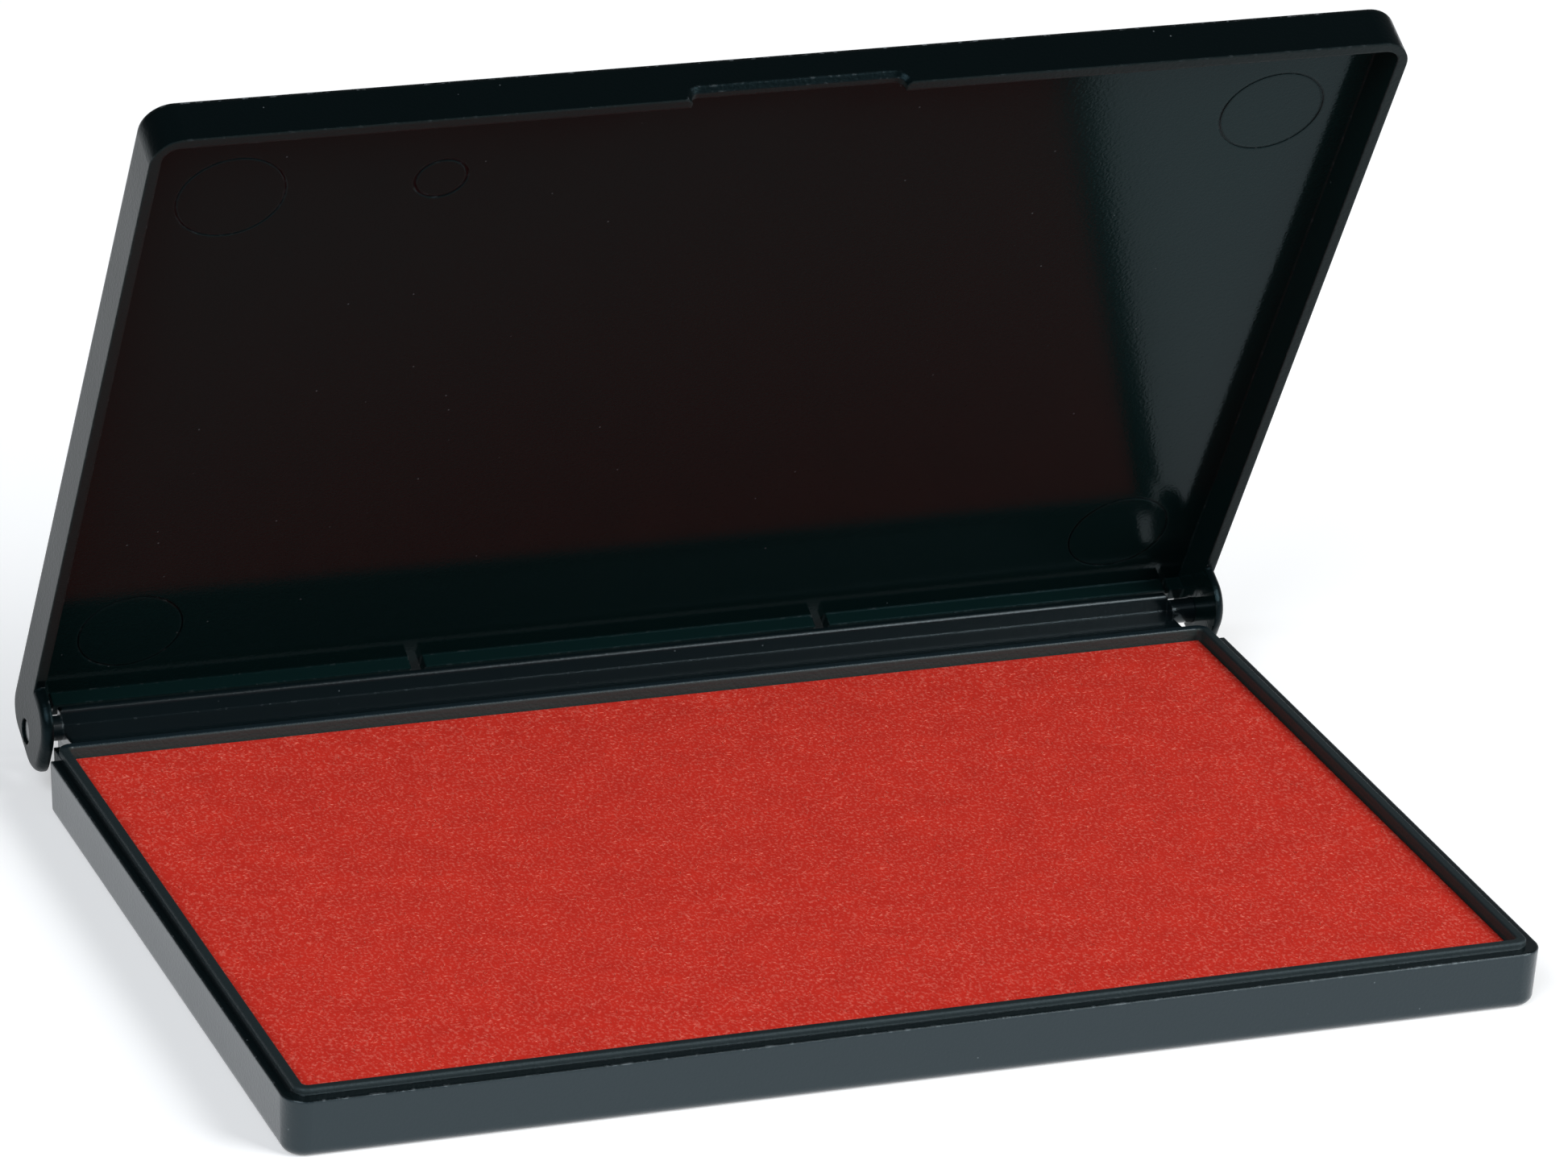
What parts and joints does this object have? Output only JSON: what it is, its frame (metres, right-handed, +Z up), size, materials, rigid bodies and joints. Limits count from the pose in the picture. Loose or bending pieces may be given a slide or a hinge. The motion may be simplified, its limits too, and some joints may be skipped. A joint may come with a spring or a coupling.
{
  "type": "hinged stamp pad",
  "caption": "Hinged black plastic stamp pad standing open, with a red inked cloth pad in a shallow tray and a lid on snap-in studs.",
  "frame": {"origin": "centre of the tray's underside, below the middle of the pad", "axes": "+X along the pad's long side, +Y from the front to the hinge, +Z up"},
  "size_m": [0.1148, 0.0819, 0.0763],
  "materials": {
    "black_moulding": "glossy",
    "inked_felt": "matte",
    "inked_cloth": "matte"
  },
  "bodies": {
    "base": {"base_tray": "black_moulding", "felt_core": "inked_felt", "cover_cloth": "inked_cloth"},
    "lid_body": {"lid": "black_moulding"}
  },
  "joints": [
    {"name": "lid_hinge", "type": "hinge", "parent": "base", "child": "lid_body", "pos_m": [0, 0.0406, 0.00535], "axis": [-1, 0, 0], "range_deg": [-62.2, 57.8]}
  ]
}
